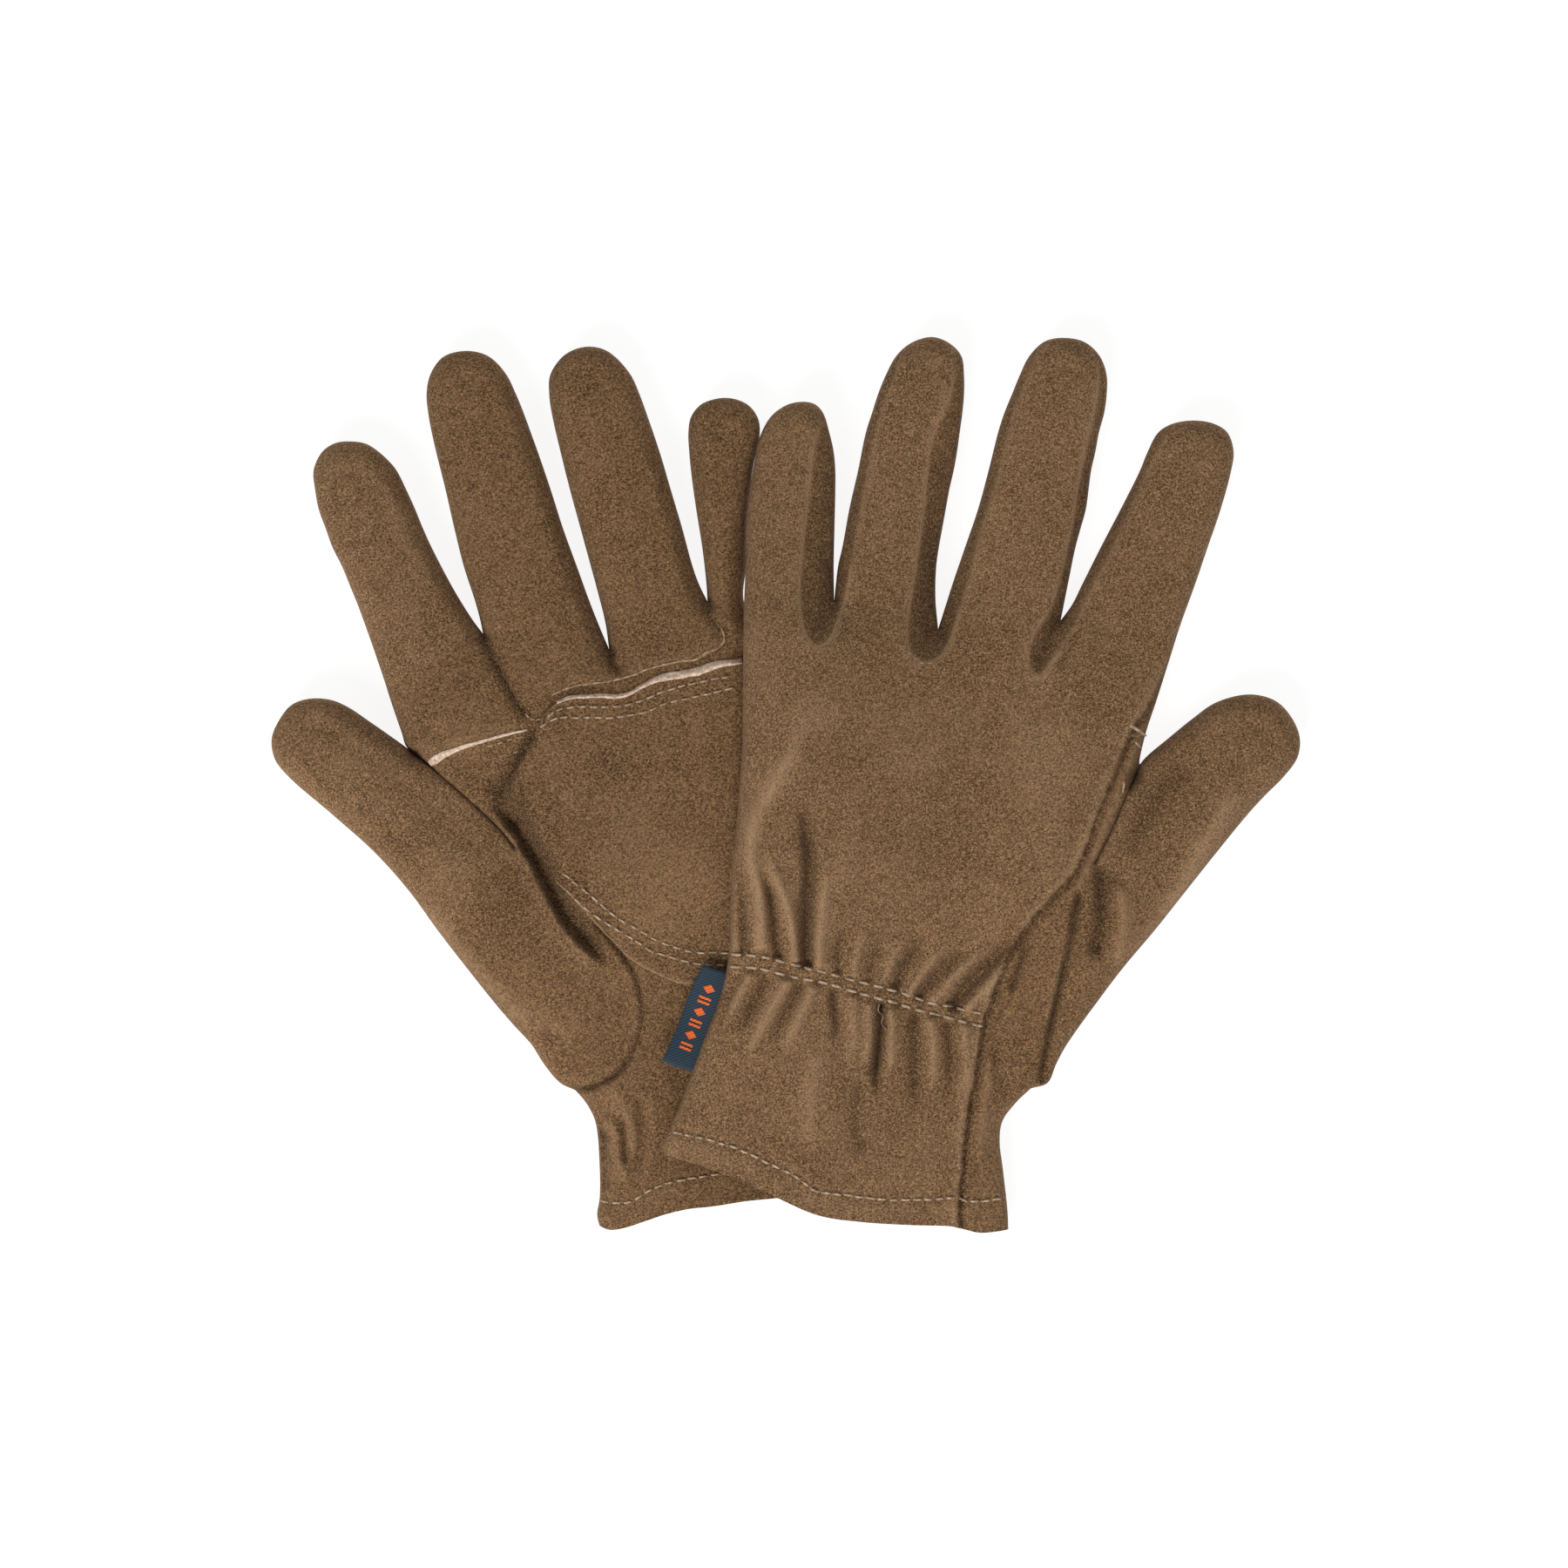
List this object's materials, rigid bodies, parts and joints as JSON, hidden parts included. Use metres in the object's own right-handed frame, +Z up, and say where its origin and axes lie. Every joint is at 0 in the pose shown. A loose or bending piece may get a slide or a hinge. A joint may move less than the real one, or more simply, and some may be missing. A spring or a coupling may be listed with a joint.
{
  "type": "work gloves",
  "caption": "Pair of suede leather work gloves laid flat, one glove partly on the other, hollow, with gathered wrists and fingers and thumbs that fold at their bases.",
  "frame": {"origin": "on the table, under the middle of the pair's overall outline", "axes": "+Y towards the fingertips, +X towards the upper glove's thumb, +Z up from the table"},
  "size_m": [0.298, 0.257, 0.0331],
  "materials": {
    "suede": "matte napped",
    "suede_flesh_side": "matte napped",
    "sewing_thread": "matte",
    "elastic_web": "matte",
    "woven_label": "matte"
  },
  "bodies": {
    "lower_index": {"lower_index_back": "suede", "lower_index_front": "suede", "lower_index_side_by_middle": "suede_flesh_side"},
    "lower_middle": {"lower_middle_back": "suede", "lower_middle_front": "suede", "lower_middle_side_by_index": "suede_flesh_side", "lower_middle_side_by_ring": "suede_flesh_side"},
    "lower_ring": {"lower_ring_back": "suede", "lower_ring_front": "suede", "lower_ring_side_by_little": "suede_flesh_side", "lower_ring_side_by_middle": "suede_flesh_side"},
    "lower_little": {"lower_little_back": "suede", "lower_little_front": "suede", "lower_little_side_by_ring": "suede_flesh_side"},
    "lower_thumb": {"lower_thumb_back": "suede", "lower_thumb_front": "suede"},
    "upper_little": {"upper_little_back": "suede", "upper_little_front": "suede", "upper_little_side_by_ring": "suede_flesh_side"},
    "upper_ring": {"upper_ring_back": "suede", "upper_ring_front": "suede", "upper_ring_side_by_little": "suede_flesh_side", "upper_ring_side_by_middle": "suede_flesh_side"},
    "upper_middle": {"upper_middle_back": "suede", "upper_middle_front": "suede", "upper_middle_side_by_index": "suede_flesh_side", "upper_middle_side_by_ring": "suede_flesh_side"},
    "upper_index": {"upper_index_back": "suede", "upper_index_front": "suede", "upper_index_side_by_middle": "suede_flesh_side"},
    "upper_thumb": {"upper_thumb_back": "suede", "upper_thumb_front": "suede"},
    "upper_label": {"upper_woven_label": "woven_label"},
    "lower_hand": {"lower_back_panel": "suede", "lower_elastic_stitching_lower": "sewing_thread", "lower_elastic_stitching_upper": "sewing_thread", "lower_hem_stitching": "sewing_thread", "lower_palm_panel": "suede", "lower_palm_patch": "suede", "lower_patch_stitching_bottom": "sewing_thread", "lower_patch_stitching_top": "sewing_thread", "lower_thumb_base": "suede", "lower_wrist_elastic": "elastic_web"},
    "upper_hand": {"upper_back_panel": "suede", "upper_elastic_stitching_lower": "sewing_thread", "upper_elastic_stitching_upper": "sewing_thread", "upper_hem_stitching": "sewing_thread", "upper_palm_panel": "suede", "upper_palm_patch": "suede", "upper_patch_stitching_bottom": "sewing_thread", "upper_patch_stitching_top": "sewing_thread", "upper_thumb_base": "suede", "upper_wrist_elastic": "elastic_web"}
  },
  "joints": [
    {"name": "upper_glove_lift", "type": "slide", "parent": "lower_hand", "child": "upper_hand", "axis": [0, 0, 1], "range_m": [0, 0.15]},
    {"name": "lower_index_fold", "type": "hinge", "parent": "lower_hand", "child": "lower_index", "pos_m": [-0.09921, 0.03374, 0.0185], "axis": [0.903, 0.4297, 0], "range_deg": [0, 80], "stiffness_Nm_per_rad": 0.01},
    {"name": "lower_middle_fold", "type": "hinge", "parent": "lower_hand", "child": "lower_middle", "pos_m": [-0.06775, 0.03774, 0.0185], "axis": [0.9567, 0.291, 0], "range_deg": [0, 80], "stiffness_Nm_per_rad": 0.01},
    {"name": "lower_ring_fold", "type": "hinge", "parent": "lower_hand", "child": "lower_ring", "pos_m": [-0.03601, 0.04249, 0.0185], "axis": [0.9687, 0.2483, 0], "range_deg": [0, 80], "stiffness_Nm_per_rad": 0.01},
    {"name": "lower_little_fold", "type": "hinge", "parent": "lower_hand", "child": "lower_little", "pos_m": [-0.01716, 0.05024, 0.0185], "axis": [0.9996, 0.027, 0], "range_deg": [0, 80], "stiffness_Nm_per_rad": 0.01},
    {"name": "lower_thumb_fold", "type": "hinge", "parent": "lower_hand", "child": "lower_thumb", "pos_m": [-0.08842, -0.03019, 0.01908], "axis": [0.8026, 0.5966, 0], "range_deg": [0, 70], "stiffness_Nm_per_rad": 0.01},
    {"name": "upper_little_fold", "type": "hinge", "parent": "upper_hand", "child": "upper_little", "pos_m": [0.00139, 0.04874, 0.02812], "axis": [0.9989, -0.0472, 0], "range_deg": [0, 60], "stiffness_Nm_per_rad": 0.01},
    {"name": "upper_ring_fold", "type": "hinge", "parent": "upper_hand", "child": "upper_ring", "pos_m": [0.02869, 0.04524, 0.02284], "axis": [0.9891, -0.1469, 0], "range_deg": [0, 60], "stiffness_Nm_per_rad": 0.01},
    {"name": "upper_middle_fold", "type": "hinge", "parent": "upper_hand", "child": "upper_middle", "pos_m": [0.06134, 0.04299, 0.0185], "axis": [0.9644, -0.2646, 0], "range_deg": [0, 60], "stiffness_Nm_per_rad": 0.01},
    {"name": "upper_index_fold", "type": "hinge", "parent": "upper_hand", "child": "upper_index", "pos_m": [0.09405, 0.03699, 0.0185], "axis": [0.9176, -0.3976, 0], "range_deg": [0, 60], "stiffness_Nm_per_rad": 0.01},
    {"name": "upper_thumb_fold", "type": "hinge", "parent": "upper_hand", "child": "upper_thumb", "pos_m": [0.09519, -0.03585, 0.01908], "axis": [0.8023, -0.5969, 0], "range_deg": [0, 60], "stiffness_Nm_per_rad": 0.01},
    {"name": "upper_label_fold", "type": "hinge", "parent": "upper_hand", "child": "upper_label", "pos_m": [-0.02032, -0.06722, 0.0202], "axis": [0.3173, 0.9483, 0], "range_deg": [0, 90], "stiffness_Nm_per_rad": 0.0002}
  ]
}
